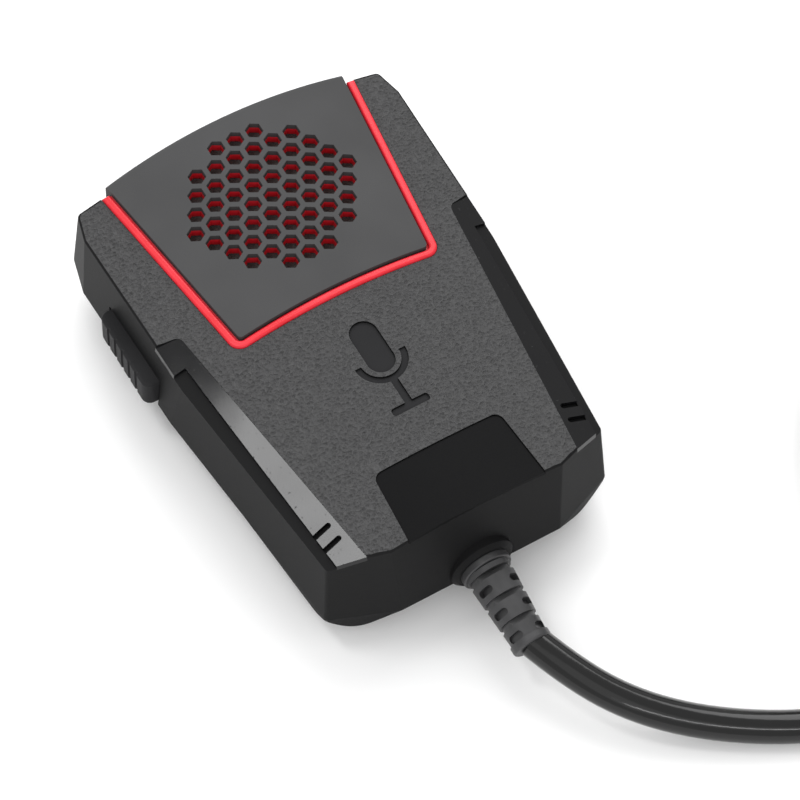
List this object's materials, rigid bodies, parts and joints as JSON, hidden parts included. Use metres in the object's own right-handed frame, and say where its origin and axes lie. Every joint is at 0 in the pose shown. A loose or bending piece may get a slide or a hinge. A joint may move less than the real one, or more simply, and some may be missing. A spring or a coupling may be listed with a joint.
{
  "type": "hand-held push-to-talk microphone",
  "caption": "Hand-held push-to-talk microphone with a honeycomb grille, side talk button, rear hanging stud, strain-relief boot and a coiled round lead with a locking plug.",
  "frame": {"origin": "middle of the flat back, on the face that it lies on", "axes": "+X to the right with the grille end up and the face towards you, +Y along the case to the grille end, +Z out of the crowned face"},
  "size_m": [0.1748, 0.1566, 0.0298],
  "materials": {
    "textured_grey": "fine leather texture on the face, smooth matt walls",
    "rear_black": "fine matt",
    "cover_grey": "fine matt",
    "accent_red": "satin",
    "felt_grey": "matt",
    "trim_black": "polished",
    "label_black": "satin",
    "badge_grey": "matt",
    "button_black": "fine matt",
    "rubber_black": "satin",
    "lead_black": "glossy",
    "board_green": "satin",
    "board_part_black": "matt",
    "switch_black": "satin",
    "plunger_white": "satin",
    "capsule_metal": "brushed",
    "steel": "satin",
    "screw_steel": "dark zinc",
    "header_white": "satin",
    "wire_red": "satin",
    "tie_black": "satin",
    "plug_black": "fine matt",
    "plug_metal": "bright nickel",
    "insert_black": "satin",
    "contact_gold": "gold plated"
  },
  "bodies": {
    "case": {"front_shell": "textured_grey", "rear_shell": "rear_black", "grille_cover": "cover_grey", "accent_plate": "accent_red", "dust_felt": "felt_grey", "left_side_trim": "trim_black", "right_side_trim": "trim_black", "label_panel": "label_black", "badge_inlay": "badge_grey", "switch_body": "switch_black", "circuit_board": "board_green", "board_parts": "board_part_black", "capsule_holder": "rubber_black", "mic_capsule": "capsule_metal", "lead_header": "header_white", "board_screws": "screw_steel", "case_screws": "screw_steel", "hanger_stud": "steel", "hanger_screw": "steel", "hanger_nut": "steel", "lead_tail": "lead_black", "lead_wires": "wire_red", "lead_clamp": "steel", "clamp_screws": "screw_steel", "lead_boot": "rubber_black", "lead": "lead_black", "lead_coil": "lead_black", "lead_end": "lead_black", "coil_tie": "tie_black", "plug_sleeve": "rubber_black", "plug_shell": "plug_black", "plug_insert": "insert_black", "plug_contacts": "contact_gold"},
    "ptt_button": {"ptt_button": "button_black"},
    "switch_plunger": {"switch_plunger": "plunger_white"},
    "plug_ring": {"plug_ring": "plug_metal"}
  },
  "joints": [
    {"name": "talk_press", "type": "slide", "parent": "case", "child": "ptt_button", "axis": [1, 0, 0], "range_m": [0, 0.0015], "stiffness_N_per_m": 300},
    {"name": "plunger_press", "type": "slide", "parent": "case", "child": "switch_plunger", "axis": [1, 0, 0], "range_m": [0, 0.0015]},
    {"name": "plug_ring_turn", "type": "hinge", "parent": "case", "child": "plug_ring", "pos_m": [0.12838, 0.00859, 0.0096], "axis": [-0.0698, 0.9976, 0], "continuous": true}
  ],
  "couplings": [
    {"joint": "plunger_press", "follows": "talk_press", "ratio": 1}
  ]
}
